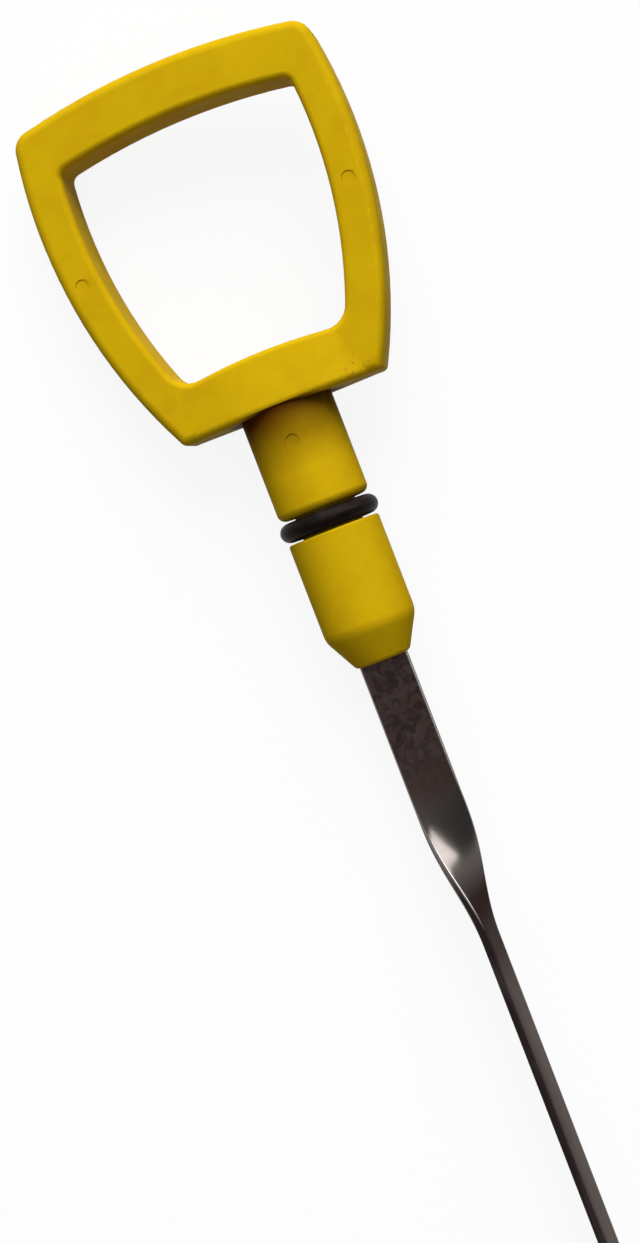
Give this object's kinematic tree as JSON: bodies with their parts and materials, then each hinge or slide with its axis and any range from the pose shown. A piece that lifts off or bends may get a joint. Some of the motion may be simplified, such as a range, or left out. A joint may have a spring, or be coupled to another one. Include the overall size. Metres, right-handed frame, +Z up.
{
  "type": "engine oil dipstick",
  "caption": "Engine oil dipstick with a yellow moulded finger ring and sealing plug, a rubber seal ring, and a steel blade that takes a quarter twist.",
  "frame": {"origin": "on the dipstick's axis at the middle of the plug's cylinder, which enters the guide tube", "axes": "+X along the dipstick towards the blade's tip, +Z up as the dipstick lies at rest, +Y to the side of the finger ring that lies higher"},
  "size_m": [0.33, 0.0404, 0.0136],
  "materials": {
    "yellow_plastic": "satin",
    "black_rubber": "matte",
    "spring_steel": "brushed, slightly stained"
  },
  "bodies": {
    "root": {"handle": "yellow_plastic", "seal_ring": "black_rubber", "blade": "spring_steel"}
  },
  "joints": []
}
